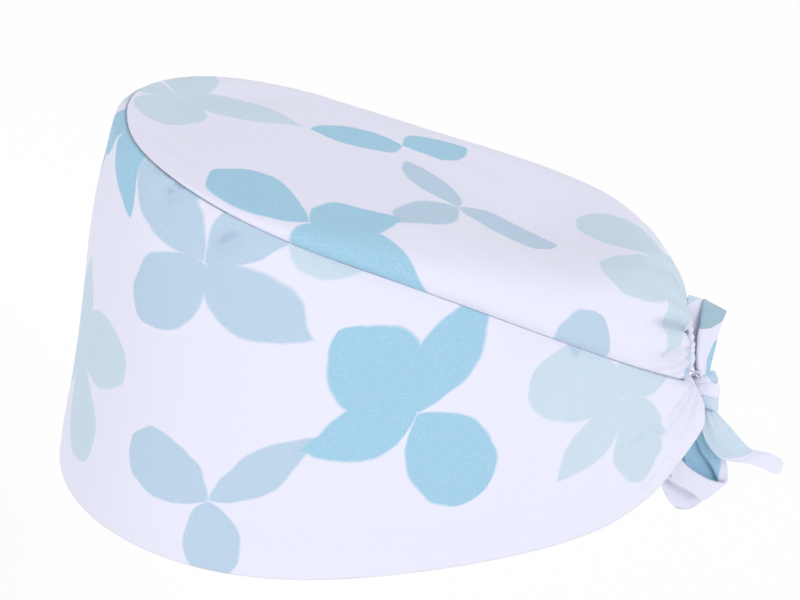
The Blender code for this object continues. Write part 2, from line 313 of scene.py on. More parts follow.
def scrubCotton(name, shift, turn, patches=None, seamShaded=False, hemShadowed=False, wish=printSet, cloth=clothSet):
    bench = Bench(name)
    raw = bench.layer("clothLay")
    moved = wander(bench, raw, wish)
    if patches is None:
        masks = blossomMasks(bench, bench.mapped("POINT", moved, shift, turn), wish)
    else:
        masks = patchMasks(bench, moved, patches, wish)
    right, upward = bench.split(raw)
    pace = 2 * math.pi / cloth["thread"]
    warp, weft = (right * pace).wave(), (upward * pace * cloth["weftCloser"]).wave()
    patchy = ((bench.noise(raw, cloth["patchScale"]) - 0.42) * 4.0).clamped()
    threads = bench.noise(bench.mapped("POINT", raw, scale=(1.0, 0.45)), cloth["threadScale"], 2.0, 0.6)
    cross = bench.noise(bench.mapped("POINT", raw, scale=(0.3, 1.0)), cloth["crossScale"], 2.0, 0.6)
    colour = wish["ground"]
    inked = None
    # shadedMint is painted shade over the mint print, mixed in like a tint
    for tint in ("mint", "pale", "shadedMint", "sky"):
        if tint in masks:
            colour = bench.mix(masks[tint], colour, wish[tint])
            inked = masks[tint] if inked is None else inked.top(masks[tint])
    if inked is not None:
        lighter = ((threads - 0.5) * 3.4 + (cross - 0.5) * 1.6).clamped() * inked * cloth["heather"]
        colour = bench.mix(lighter, colour, cloth["heatherColour"])
    grain = warp * weft * 0.75 + warp * 0.35 * patchy + weft * 0.25
    shade = (grain * (patchy * 0.6 + 0.4) + 0.5 + (threads - 0.5) * 1.3).clamped() * cloth["weaveShade"]
    if inked is not None:
        shade = shade * (inked * cloth["inkedMore"] + 1.0)
    colour = bench.mix(shade, colour, cloth["weaveColour"])
    # painted shadow: a thin warm line along the hem's lower edge
    if hemShadowed:
        line = (1.0 - (upward - cloth["layStart"][1]) / cloth["hemShadowLine"]).clamped()
        line = line * (bench.noise(raw, 60.0, 1.0) - 0.3).clamped() * 1.2
        colour = bench.mix(line, colour, cloth["hemShadowColour"])
    # painted shade: a dark line along the seam and fainter shade down the folds, read from the second UV
    if seamShaded:
        away, along = bench.split(bench.layer("seamLay"))
        paintedShade = (1.15 - away - bench.noise(bench.joined(along), 240.0) * 0.6).clamped() * 0.78
        colour = bench.mix(paintedShade, colour, cloth["seamShadeColour"])
    relief = bench.add("Bump", {}, {"Strength": cloth["bump"], "Distance": cloth["bumpHeight"],
                                    "Height": grain * 0.6 + threads * 0.8})[0]
    looks = {"Base Color": colour, "Roughness": cloth["roughness"], "Sheen Weight": cloth["sheen"],
             "Specular IOR Level": cloth["specular"], "Normal": relief}
    for socket, value in looks.items():
        bench.feed(bench.shader.inputs[socket], value)
    return bench.material


def patchMasks(bench, uv, patches, wish):
    masks = {}
    for tint, along, across, turn, length, width in patches:
        local = bench.mapped("TEXTURE", uv, (along, across), turn)
        mask = petalMask(bench, local, (0, length, width, 0.55, 0.55), 1.0)
        masks[tint] = masks[tint].top(mask) if tint in masks else mask
    return {tint: (mask / (wish["edgeSoft"] * 1.5)).clamped() for tint, mask in masks.items()}


# The cap's form, seen from above and from the side

capForm = {
    "cloth": 0.0016,
    "hemHalfWidth": 0.084,
    "hemFront": 0.105,
    "hemRear": 0.128,
    "hemRound": 2.13,
    "hemFrontLift": 0.0082,
    "hemFrontSharp": 2.6,
    "hemRearDrop": 0.0013,
    "hemDropAt": 2.3,
    "hemDropWide": 0.28,
    "seamHalfWidth": 0.07,
    "seamMiddle": 0.0002,
    "seamFront": 0.0727,
    "seamRear": 0.1325,
    "seamRoundFront": 2.28,
    "seamRoundRear": 2.47,
    "seamHeight": 0.1145,
    "seamSlope": 0.458,
    "seamCurve": 0.66,
    "seamCurl": 1.9,
    "seamRearDip": 0.0072,  # the seam drops at its rear end
    "seamDipSharp": 26,
    "seamFrontOut": 0.0013,  # the front of the seam stands out a little
    "seamNearOut": 0.0017,  # more so on the left side
    "seamNearAt": 0.22,
    "seamNearWide": 0.4,
    "seamPinch": 0.0006,
    "seamEndPinch": 0.0008,
    "seamPinchReach": 0.0019,
    "closeReach": 0.026,  # close columns this far along the seam from its rear
    "closeFade": 0.04,
    "rearRise": 0.03,
    "rearReach": 0.0135,
    # across the half width, share of the rise, share of the reach
    "rearHem": ((0.0, 0.8, 0.5), (0.06, 0.78, 0.6), (0.1, 0.72, 0.76), (0.125, 0.58, 0.92),
                (0.15, 0.45, 1.0), (0.178, 0.35, 0.97), (0.214, 0.28, 0.82), (0.286, 0.18, 0.54),
                (0.381, 0.09, 0.27), (0.5, 0.03, 0.12), (0.65, 0.0, 0.0)),
}


def unit(vectors):
    return vectors / np.maximum(np.linalg.norm(vectors, axis=-1, keepdims=True), 1e-12)


def bound(values):
    return np.clip(values, 0, 1)


def bell(away, width):
    return np.exp(-(away / width) ** 2)


def runAlong(points):
    # Length from the first point to each one, along the first axis
    step = np.linalg.norm(np.diff(points, axis=0), axis=-1)
    return np.concatenate([np.zeros((1,) + step.shape[1:]), np.cumsum(step, axis=0)])


def planCurve(angle, halfWidth, front, rear, roundFront, roundRear, middle):
    c, s = np.cos(angle), np.sin(angle)
    reach = np.where(c > 0, front, rear)
    power = 2.0 / np.where(c > 0, roundFront, roundRear)
    return halfWidth * np.sign(s) * np.abs(s) ** power, middle - reach * np.sign(c) * np.abs(c) ** power


def seamSheet(y, form=capForm):
    return form["seamHeight"] - form["seamSlope"] * y - form["seamCurve"] * y ** 2 - form["seamCurl"] * y ** 3


def seamCurve(angle, form=capForm):
    x, y = planCurve(angle, form["seamHalfWidth"], form["seamFront"], form["seamRear"],
                     form["seamRoundFront"], form["seamRoundRear"], form["seamMiddle"])
    y = y - form["seamFrontOut"] * bound(np.cos(angle)) ** 3
    y = y - form["seamNearOut"] * bell(angle - form["seamNearAt"], form["seamNearWide"])
    dip = form["seamRearDip"] * ((1 - np.cos(angle)) / 2) ** form["seamDipSharp"]
    return np.stack([x, y, seamSheet(y) - dip], -1)


def hemCurve(angle, form=capForm):
    x, y = planCurve(angle, form["hemHalfWidth"], form["hemFront"], form["hemRear"],
                     form["hemRound"], form["hemRound"], 0.0)
    z = form["hemFrontLift"] * bound(np.cos(angle)) ** form["hemFrontSharp"]
    z = z - form["hemRearDrop"] * bell(np.abs(angle) - form["hemDropAt"], form["hemDropWide"])
    table = np.array(form["rearHem"])
    share = np.where(np.cos(angle) < 0, np.abs(x) / form["hemHalfWidth"], 1.0)
    fine = np.linspace(0, table[-1, 0], 200)
    pull = []
    for column in (1, 2):
        values = np.interp(fine, table[:, 0], table[:, column])
        for _ in range(3):  # soften the corners between the table's rows
            values = np.convolve(np.pad(values, 4, "edge"), np.ones(9) / 9, "valid")
        pull.append(np.interp(share, fine, values))
    return np.stack([x, y + form["rearReach"] * pull[1], z + form["rearRise"] * pull[0]], -1)


def roundTheCap(fine, coarse, form=capForm):
    # Angles from rear over the left side and front back to the rear, closer together at the rear
    angle = np.linspace(-math.pi, math.pi, 6001)
    curve = seamCurve(angle)
    step = np.linalg.norm(np.diff(curve, axis=0), axis=1)
    run = runAlong(curve)
    fromRear = np.minimum(run, run[-1] - run)
    pitch = fine + (coarse - fine) * bound((fromRear - form["closeReach"]) / form["closeFade"])
    count = np.concatenate([[0], np.cumsum(step / pitch[1:])])
    total = int(round(count[-1] / 2)) * 2
    return np.interp(np.linspace(0, count[-1], total + 1), count, angle)


def seamWeight(angle):
    # Strength of the seam's shade: full at the front and the rear, faint between
    c = np.cos(angle)
    return 0.3 + 0.7 * bound((c - 0.45) / 0.35) + 0.6 * bound((-c - 0.55) / 0.3)


def capEnds(angle):
    return bound(np.cos(angle)) ** 2 + bound(-np.cos(angle)) ** 6


def seamDraw(angle, away, form=capForm):
    # Both cloths draw in together along the seam, most at the front and the rear
    inward = -unit(seamCurve(angle)[:, :2] - np.array([[0, 0.03]]))
    depth = (form["seamPinch"] + form["seamEndPinch"] * capEnds(angle)) * bell(away, form["seamPinchReach"])
    return np.concatenate([inward, np.zeros((len(angle), 1))], axis=1) * depth[..., None]


def gridNormals(grid, outward):
    closed = np.concatenate([grid[:, -2:-1], grid, grid[:, 1:2]], axis=1)
    across = closed[:, 2:] - closed[:, :-2]
    normal = unit(np.cross(np.gradient(grid, axis=0), across))
    flip = np.sign(np.sum(normal * outward, axis=-1, keepdims=True))
    return normal * np.where(flip == 0, 1, flip)


def slowWaves(a, b, rows):
    # Sum of long soft waves over two running lengths: pace along a, pace along b, start, height
    return sum(height * np.sin(a * paceA + b * paceB + start) for paceA, paceB, start, height in rows)


def tuckField(along, away, back, wish):
    # Small tucks along the seam, fainter at the front, and closer ones at its rear end
    def row(height, pace, swing, drift, reach):
        return height * np.sin(along * pace + swing * np.sin(along * drift)) * np.exp(-away / reach)

    calm, start = wish["tuckCalm"]
    slow = row(*wish["seamTucks"]) * (calm + (1 - calm) * bound((back - start) / 0.04))
    close = row(*wish["rearTucks"]) * bound((back - 0.1) / 0.022)
    return (slow + close) * bound(away / 0.001)


def groove(spots, start, end, width, rim, rimAt):
    # A valley with a low ridge beside it, and the share run along its line
    a, b = np.array(start), np.array(end)
    t = bound((spots - a) @ (b - a) / ((b - a) @ (b - a)))
    gap = np.linalg.norm(spots - a - t[..., None] * (b - a), axis=-1)
    return bell(gap, width) - rim * bell(gap - rimAt * width, width), t


def clothGrid(name, place, lay, seamLay=None):
    # A grid primitive moved point by point into its form, with the cloth's own lay as UV
    rows, columns = place.shape[:2]
    deselectAll()
    bpy.ops.mesh.primitive_grid_add(x_subdivisions=columns - 1, y_subdivisions=rows - 1, size=1)
    piece = bpy.context.object
    mesh = piece.data
    piece.name = mesh.name = name
    flat = np.empty(len(mesh.vertices) * 3)
    mesh.vertices.foreach_get("co", flat)
    flat = flat.reshape(-1, 3)
    column = np.rint((flat[:, 0] + 0.5) * (columns - 1)).astype(int)
    row = np.rint((flat[:, 1] + 0.5) * (rows - 1)).astype(int)
    mesh.vertices.foreach_set("co", place[row, column].ravel())
    corner = np.empty(len(mesh.loops), dtype=int)
    mesh.loops.foreach_get("vertex_index", corner)
    mesh.uv_layers[0].name = "clothLay"
    mesh.uv_layers[0].data.foreach_set("uv", lay[row, column][corner].ravel())
    if seamLay is not None:
        mesh.uv_layers.new(name="seamLay").data.foreach_set("uv", seamLay[row, column][corner].ravel())
    mesh.update()
    return piece


def closeSeams(piece, reach=0.00001, fill=0):
    pickOnly(piece)
    bpy.ops.object.mode_set(mode="EDIT")
    bpy.ops.mesh.select_all(action="SELECT")
    bpy.ops.mesh.remove_doubles(threshold=reach)
    if fill:  # close the ends of a tube with up to this many sides
        bpy.ops.mesh.fill_holes(sides=fill)
    bpy.ops.mesh.normals_make_consistent(inside=False)
    bpy.ops.object.mode_set(mode="OBJECT")


def thicken(piece, thickness, offset):
    pickOnly(piece)
    wall = piece.modifiers.new("wall", "SOLIDIFY")
    wall.thickness, wall.offset, wall.use_even_offset = thickness, offset, False
    bpy.ops.object.modifier_apply(modifier=wall.name)
    bpy.ops.object.shade_smooth_by_angle(angle=math.radians(50))


def dress(piece, material, slot, *nodes):
    piece.data.materials.clear()
    piece.data.materials.append(material)
    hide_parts(*nodes)
    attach(piece, "root")


# Crown

crownSet = {
    "centre": 0.066,
    "riseFront": 0.0074,
    "riseSide": 0.0018,
    "riseRear": 0.0522,
    "shoulder": 2.6,
    "rearShoulder": 1.9,
    "frontSoft": 0.8,  # the cloth leaves the front of the seam at a low slope
    "frontEase": 1.0,
    "flatness": 3.4,
    "rows": 76,
    "closeRows": 28,  # of them close together in the strip above the seam
    "closeStrip": 0.026,
    "edgeGap": 0.00012,
    "puff": 0.0006,  # roll of cloth just above the seam
    "puffReach": 0.0042,
    "puckerAboveSeam": 0.0094,
    "casingRadius": 0.0077,
    "puckerDepth": 0.003,
    "fold": 0.001,
    "foldReach": 0.006,
    "longFold": 0.0007,
    "longReach": 0.022,
    # turn round the casing in degrees, reach, width, depth
    "pleats": ((43, 0.045, 0.0017, 0.0016), (54, 0.07, 0.0026, 0.0034), (62, 0.046, 0.0013, 0.0018),
               (68, 0.066, 0.0016, 0.0028), (75, 0.056, 0.0013, 0.0024), (83, 0.048, 0.0013, 0.002),
               (24, 0.022, 0.0022, 0.0012), (8, 0.026, 0.0024, 0.0014), (-9, 0.02, 0.0022, 0.0012),
               (-26, 0.034, 0.0018, 0.0015), (-45, 0.06, 0.0022, 0.0028), (-57, 0.044, 0.0014, 0.0018),
               (-66, 0.06, 0.0016, 0.0024), (-77, 0.046, 0.0013, 0.002)),
    "waves": ((38, 21, 0.4, 0.0006), (-24, 47, 1.9, 0.0005), (71, 33, 2.7, 0.0003), (17, -83, 5.1, 0.00025)),
    # height, pace, swing, drift, reach
    "seamTucks": (0.00028, 760, 1.5, 93, 0.006),
    "rearTucks": (0.00045, 1650, 1.2, 210, 0.005),
    "tuckCalm": (0.35, 0.075),  # share of the tucks left at the front, and where they grow
    "seamShade": 0.0007,
    # from across and back, to across and back, width, depth
    "creases": (
        (0.002, -0.07, 0.03, -0.052, 0.003, 0.0011),
        (0.014, 0.131, 0.028, 0.11, 0.004, 0.0015),
        (0.024, 0.128, 0.04, 0.104, 0.0032, 0.0009),
        (0.046, -0.02, 0.062, 0.03, 0.006, 0.0006),
        (0.02, 0.06, 0.05, 0.085, 0.008, 0.0008),
        (-0.03, -0.05, -0.052, -0.01, 0.007, 0.0008),
        (-0.05, 0.04, -0.02, 0.09, 0.008, 0.0009),
    ),
}


def gatherPhase(turn):
    # Uneven gathers round the casing, shared by the casing and the cloth outside it
    return 20 * turn + 0.9 * np.sin(3 * turn + 0.4) + 0.5 * np.sin(5 * turn)


foldSet = {
    "shadeFrom": 0.0006,  # folds deeper than this are shaded
    "shadeFull": 0.0014,
    "shade": 0.52,
    "narrow": 0.7,  # a fold's width at the gathers, and how it widens away from them
    "widen": 18,
    "ridge": 0.4,
    "ridgeAt": 1.7,
    "ridgeWide": 0.9,
}


def foldShade(seam, depth, fold=foldSet):
    # The seam's shade, and a fainter one down in the folds; 9 leaves the rest of the cloth clear
    low = bound((-depth - fold["shadeFrom"]) / fold["shadeFull"])
    return np.minimum(seam, 1.0 - fold["shade"] * low + 9 * (low < 0.02))


def pleatField(r, spin, past, rows, fold=foldSet):
    # Narrow valleys that run outward from the gathered end, with a low ridge at each side
    total = np.zeros(r.shape)
    for turn, reach, width, depth in rows:
        gap = r * np.abs((spin - math.radians(turn) + math.pi) % (2 * math.pi) - math.pi)
        gap = gap / (width * (fold["narrow"] + past * fold["widen"]))
        ridge = fold["ridge"] * bell(gap - fold["ridgeAt"], fold["ridgeWide"])
        total += depth * (ridge - bell(gap, 1)) * bell(past, reach)
    return total


def crownSurface(angle, wish=crownSet):
    start = seamCurve(angle)
    rear = (1 - np.cos(angle)) / 2
    rise = wish["riseFront"] * (1 - rear) ** 2 + 2 * wish["riseSide"] * rear * (1 - rear)
    rise = rise + wish["riseRear"] * rear ** 2
    middle = (wish["riseFront"] + 2 * wish["riseSide"] + wish["riseRear"]) / 4
    front = bound(np.cos(angle))
    shoulder = wish["shoulder"] + wish["rearShoulder"] * rear ** 2 - wish["frontSoft"] * front ** 2
    turn = (np.linspace(0, math.pi / 2, 400) ** 1.5 / (math.pi / 2) ** 0.5)[:, None]
    share = bound(np.cos(turn)) ** (2 / shoulder[None, :])
    share[-1] = 0.0
    lift = np.sin(turn) ** (2 / wish["flatness"] + wish["frontEase"] * front ** 3.5)
    x = start[None, :, 0] * share
    y = wish["centre"] + (start[None, :, 1] - wish["centre"]) * share
    here = rise[None, :] * share ** 1.5 + middle * (1 - share ** 1.5)
    dip = (seamSheet(start[:, 1]) - start[:, 2])[None, :] * share ** 8
    line = np.stack([x, y, seamSheet(y) - dip + here * lift], -1)
    run = runAlong(line)
    rows, closeRows, strip = wish["rows"], wish["closeRows"], wish["closeStrip"]
    near = np.linspace(0, 1, closeRows) ** 1.15 * strip
    grid = np.empty((rows, len(angle), 3))
    fromSeam = np.empty((rows, len(angle)))
    for k in range(len(angle)):
        far = strip + (run[-1, k] - strip) * np.linspace(0, 1, rows - closeRows + 1)[1:]
        stops = np.concatenate([near, far])
        stops[0] = wish["edgeGap"]
        for i in range(3):
            grid[:, k, i] = np.interp(stops, run[:, k], line[:, k, i])
        fromSeam[:, k] = stops
    return grid, fromSeam, run[-1]


def buildCrown(wish=crownSet, form=capForm):
    angle = roundTheCap(0.0008, 0.0023)
    grid, fromSeam, whole = crownSurface(angle)
    normal = gridNormals(grid, grid - np.array([0, wish["centre"], 0.03]))
    normal[-1] = normal[-2].mean(axis=0)
    centre = seamCurve(np.array([math.pi]))[0, 2] + wish["puckerAboveSeam"]
    dx, dz = grid[..., 0], grid[..., 2] - centre
    r = np.hypot(dx, dz)
    rear = bound((grid[..., 1] - (wish["centre"] + 0.03)) / 0.02)
    hollow = -wish["puckerDepth"] * bound(1 - (r / wish["casingRadius"]) ** 2) ** 2
    spin = np.arctan2(dx, dz)
    phase = gatherPhase(spin)
    past = bound(r - wish["casingRadius"])
    start = bound((r / wish["casingRadius"] - 0.8) / 0.3) * bound(fromSeam / 0.003)
    folds = wish["fold"] * np.cos(phase) * np.exp(-past / wish["foldReach"])
    longFolds = np.cos(phase * 0.5 + 0.7 + past * 40) * (0.6 + 0.4 * np.sin(3 * spin + 1))
    folds += wish["longFold"] * longFolds * np.exp(-past / wish["longReach"])
    pleats = pleatField(r, spin, past, wish["pleats"]) * start * rear
    pleats = pleats * (0.35 + 0.65 * bound(past / 0.015))
    edge = fromSeam / wish["puffReach"]
    puff = wish["puff"] * edge * np.exp(1 - edge) * (1 - 0.9 * capEnds(angle))
    along = runAlong(grid[0])[None, :]
    tucks = tuckField(along, fromSeam, grid[..., 1], wish)
    waves = slowWaves(grid[..., 0], grid[..., 1], wish["waves"]) * bound(fromSeam / 0.02)
    crease = np.zeros(grid.shape[:2])
    for x0, y0, x1, y1, width, depth in wish["creases"]:
        valley, t = groove(grid[..., :2], (x0, y0), (x1, y1), width, 0.4, 1.8)
        crease -= depth * valley * np.sin(math.pi * (0.1 + 0.8 * t))
    crease = crease * bound(fromSeam / 0.003)
    raised = crease + (hollow + folds * start) * rear + pleats + puff + tucks + waves
    grid = grid + seamDraw(angle, fromSeam) + normal * raised[..., None]
    grid[-1] = grid[-1].mean(axis=0)
    # The lay of the cloth: true length from the centre along each line
    direction = unit(seamCurve(angle)[:, :2] - np.array([[0, wish["centre"]]]))
    lay = direction[None] * (whole[None, :] - fromSeam)[..., None] + 0.5
    # painted shade along the seam and down in the folds, carried to the material on a second UV
    seam = fromSeam / (wish["seamShade"] * seamWeight(angle))[None, :]
    shade = np.stack([foldShade(seam, pleats + crease), along + 0 * fromSeam], -1)
    piece = clothGrid("crownPanel", grid[:, ::-1], lay[:, ::-1], shade[:, ::-1])
    closeSeams(piece)
    thicken(piece, form["cloth"], -1)
    dress(piece, scrubCotton("crownCotton", (0.0, 0.034), 78, seamShaded=True), "printed_cotton", "crown")


# Side band

bandSet = {
    "rows": 66,
    "belly": 0.0055,
    "frontBelly": -0.0028,
    "shoulder": 0.26,
    "frontShoulder": 0.25,
    "shoulderPower": 7.0,
    "edgeGap": 0.00013,
    "frontLift": 0.0021,  # the cloth rolls over a little above the front of the seam
    "frontFull": 0.0012,  # and stands fuller under it
    "rollAt": (0.0042, 0.0038),  # how far under the seam it rolls, and how wide
    "fullAt": (0.0052, 0.008),
    # height, pace, swing, drift, reach
    "seamTucks": (0.00025, 810, 1.7, 77, 0.007),
    "rearTucks": (0.0004, 1500, 1.2, 190, 0.006),
    "tuckCalm": (0.25, 0.07),
    "seamShade": 0.0011,
    "hemRoll": 0.0002,
    "hemRollWide": 0.0016,
    "hemDepth": 0.021,  # turned hem
    "gatherPoint": 0.033,
    # turn round the knot in degrees, reach, width, depth
    "pleats": ((93, 0.042, 0.0013, 0.002), (101, 0.046, 0.0015, 0.002), (110, 0.034, 0.0013, 0.0014),
               (120, 0.044, 0.0019, 0.002), (133, 0.034, 0.0016, 0.0014), (-94, 0.042, 0.0014, 0.002),
               (-105, 0.044, 0.0017, 0.002), (-121, 0.036, 0.0016, 0.0015)),
    "waves": ((31, 19, 0.8, 0.0009), (-17, 52, 2.2, 0.0006), (64, -29, 4.0, 0.0004), (101, 13, 1.2, 0.00025)),
    # side, from back and up, to back and up, width, depth
    "creases": (
        (1, -0.038, 0.129, -0.053, 0.122, 0.003, 0.0021),
        (1, -0.058, 0.14, -0.066, 0.134, 0.0026, 0.0021),
        (1, -0.064, 0.126, -0.044, 0.096, 0.006, 0.0007),
        (1, 0.074, 0.068, 0.06, 0.02, 0.009, 0.0008),
        (1, 0.112, 0.04, 0.09, 0.02, 0.006, 0.0008),
        (1, 0.124, 0.03, 0.11, 0.008, 0.0045, 0.0007),
        (-1, -0.05, 0.112, -0.02, 0.1, 0.004, 0.0011),
        (-1, 0.03, 0.09, 0.048, 0.03, 0.008, 0.001),
        (-1, 0.116, 0.038, 0.094, 0.018, 0.0055, 0.0009),
    ),
}


def buildBand(wish=bandSet, form=capForm):
    angle = roundTheCap(0.001, 0.0023)
    low, high = hemCurve(angle), seamCurve(angle)
    t = np.linspace(0, 1, wish["rows"])[:, None]
    front = bound(np.cos(angle)) ** 2
    kept = wish["shoulder"] + (wish["frontShoulder"] - wish["shoulder"]) * front
    lean = t * (1 - kept) + kept * t ** wish["shoulderPower"]
    tall = bound((high[:, 2] - low[:, 2]) / form["seamHeight"])
    belly = (wish["belly"] * (1 - front) + wish["frontBelly"] * front) * tall * 4 * t * (1 - t)
    x = low[:, 0] + (high[:, 0] - low[:, 0]) * lean + belly * np.sin(angle)
    y = low[:, 1] + (high[:, 1] - low[:, 1]) * lean - belly * np.cos(angle)
    z = low[:, 2] + (high[:, 2] - low[:, 2]) * t
    grid = np.stack([x, y, z], -1)
    grid[-1] -= unit(grid[-1] - grid[-2]) * wish["edgeGap"]
    normal = gridNormals(grid, grid * np.array([1, 1, 0]) - np.array([0, 0.02, 0]))
    up = runAlong(grid)
    down = up[-1][None, :] - up
    run = runAlong(np.swapaxes(grid, 0, 1)).T
    run = run - run[:, run.shape[1] // 2][:, None]
    waves = slowWaves(run, up, wish["waves"]) * bound(down / 0.012) * bound(up / 0.012)
    fullAt, fullWide = wish["fullAt"]
    full = wish["frontFull"] * front ** 1.2 * bell(down - fullAt, fullWide) * bound(down / 0.0035) ** 0.8
    roll = wish["hemRoll"] * bell(up - wish["hemDepth"], wish["hemRollWide"]) * tall
    tucks = tuckField(run, down, grid[..., 1], wish)
    dx, dz = grid[..., 0], grid[..., 2] - wish["gatherPoint"]
    r = np.hypot(dx, dz)
    pleats = pleatField(r, np.arctan2(dx, dz), bound(r - 0.01), wish["pleats"])
    pleats = pleats * bound((r - 0.006) / 0.01) * bound((grid[..., 1] - 0.085) / 0.02)
    pleats = pleats * bound(down / 0.002) * bound(up / 0.004)
    creases = np.zeros(grid.shape[:2])
    for side, y0, z0, y1, z1, width, depth in wish["creases"]:
        valley, along = groove(grid[..., 1:], (y0, z0), (y1, z1), width, 0.45, 1.7)
        creases -= depth * valley * (0.4 + 0.6 * np.sin(math.pi * along)) * (grid[..., 0] * side > 0)
    creases = pleats + creases * bound(down / 0.004) * bound(up / 0.006)
    rollAt, rollWide = wish["rollAt"]
    lift = wish["frontLift"] * front ** 0.7 * (1 - 0.6 * front ** 4) * bell(down - rollAt, rollWide)
    grid[..., 2] += lift * bound(down / 0.003)
    grid = grid + seamDraw(angle, down) + normal * (waves + full + roll + tucks + creases)[..., None]
    grid[:, -1] = grid[:, 0]
    lay = np.stack([run, up], -1) + np.array(clothSet["layStart"])
    # painted shade along the seam and down in the folds, carried to the material on a second UV
    shade = np.stack([foldShade(down / (wish["seamShade"] * seamWeight(angle))[None, :], creases), run], -1)
    piece = clothGrid("sideBand", grid, lay, shade)
    closeSeams(piece)
    thicken(piece, form["cloth"], -1)
    cotton = scrubCotton("bandCotton", (0, 0), 0, seamShaded=True, hemShadowed=True)
    dress(piece, cotton, "printed_cotton", "side_band")


# Tie: bands of cloth laid out as the camera sees them, from the knot's centre

tieSet = {
    "knot": (0.0032, 0.1422, 0.0182),
    "cloth": 0.0011,
    "rounding": 0.00035,
    "steps": 7,
    "pitch": 0.00045,  # spacing of the band's points
    "pleats": 3.0,
    # height, pace along, pace across
    "ripples": ((0.0001, 520, 4.0), (0.00005, 900, -7)),
}


def viewAxes(view=cameraSet):
    turn, lift = math.radians(view["azimuth"]), math.radians(view["elevation"])
    across = np.array([math.cos(turn), math.sin(turn), 0])
    up = np.array([-math.sin(turn) * math.sin(lift), math.cos(turn) * math.sin(lift), math.cos(lift)])
    return across, up, np.cross(across, up)


def fromView(rows, wish=tieSet, view=cameraSet):
    # Rows of across, up and side in mm: across and up as seen at the knot, side along the wearer's left
    across, up, near = viewAxes(view)
    eye = np.array(view["lookAt"]) + near * view["distance"]
    rows = np.array(rows, float) * 0.001
    flat = np.array(wish["knot"]) + rows[..., 0:1] * across + rows[..., 1:2] * up
    sight = eye - flat
    return flat + sight * (wish["knot"][0] + rows[..., 2:3] - flat[..., 0:1]) / sight[..., 0:1]


def smoothRail(points, steps):
    # Curve through the points along the first axis
    points = np.array(points, float)
    padded = np.concatenate([[2 * points[0] - points[1]], points, [2 * points[-1] - points[-2]]])
    out = []
    for i in range(len(points) - 1):
        a, b, c, d = padded[i:i + 4]
        for k in range(steps):
            t = k / steps
            bend = (2 * a - 5 * b + 4 * c - d) * t * t + (3 * b - a - 3 * c + d) * t ** 3
            out.append(0.5 * (2 * b + (c - a) * t + bend))
    out.append(points[-1])
    return np.array(out)


def evenRail(points, count):
    # The same curve with points at even spacing, along the first axis
    step = np.linalg.norm(np.diff(points, axis=0), axis=-1)
    step = step.reshape(len(step), -1).mean(axis=1)
    run = np.concatenate([[0], np.cumsum(step)])
    stops = np.linspace(0, run[-1], count)
    flat = points.reshape(len(points), -1)
    out = np.stack([np.interp(stops, run, flat[:, i]) for i in range(flat.shape[1])], -1)
    return out.reshape((count,) + points.shape[1:])


def bandFromRails(name, rows, pleatEnds, roundEnd=0.0, closed=False, wish=tieSet, layStart=0.0):
    rails = smoothRail(fromView(rows), wish["steps"])  # row, rail, place
    across = np.swapaxes(smoothRail(np.swapaxes(rails, 0, 1), 8), 0, 1)
    length = np.linalg.norm(np.diff(across[:, across.shape[1] // 2], axis=0), axis=-1).sum()
    wide = np.linalg.norm(np.diff(across, axis=1), axis=-1).sum(axis=1).max()
    grid = evenRail(across, int(length / wish["pitch"]) + 2)
    grid = np.swapaxes(evenRail(np.swapaxes(grid, 0, 1), int(wide / wish["pitch"]) + 2), 0, 1)
    n, m = grid.shape[:2]
    w = np.linspace(0, 1, m)[None, :]
    run = runAlong(grid[:, m // 2])[:, None]
    if roundEnd:
        near = bound((run[-1] - run) / roundEnd)
        keep = np.sqrt(bound(1 - (1 - near) ** 2)) * 0.5 + 0.5
        middle = grid.mean(axis=1, keepdims=True)
        grid = middle + (grid - middle) * keep[..., None]
    normal = unit(np.cross(np.gradient(grid, axis=0), np.gradient(grid, axis=1)))
    lift = np.zeros((n, m))
    for end, depth, reach in pleatEnds:
        far = run if end == 0 else run[-1] - run
        pleats = np.sin(w * math.pi * 2 * wish["pleats"] + 0.6 + far * 60)
        lift += depth * pleats * np.exp(-(far / reach) ** 1.3)
    (high, pace, over), (low, lowPace, lowOver) = wish["ripples"]
    lift += high * np.sin(run * pace + w * over) * np.sin(w * math.pi)
    lift += low * np.sin(run * lowPace + w * lowOver)
    grid = grid + normal * (lift * np.clip(np.minimum(w, 1 - w) * 8, 0.15, 1))[..., None]
    lay = np.stack([run + 0 * w + layStart, w * wide + 0 * run], -1)
    piece = clothGrid(name, grid, lay)
    if closed:
        closeSeams(piece, 0.00002)
    thicken(piece, wish["cloth"], 0)
    soft = piece.modifiers.new("softEdge", "BEVEL")
    soft.width, soft.segments = wish["rounding"], 2
    soft.limit_method, soft.angle_limit = "ANGLE", math.radians(60)
    bpy.ops.object.modifier_apply(modifier=soft.name)
    bpy.ops.object.shade_smooth_by_angle(angle=math.radians(50))
    return piece


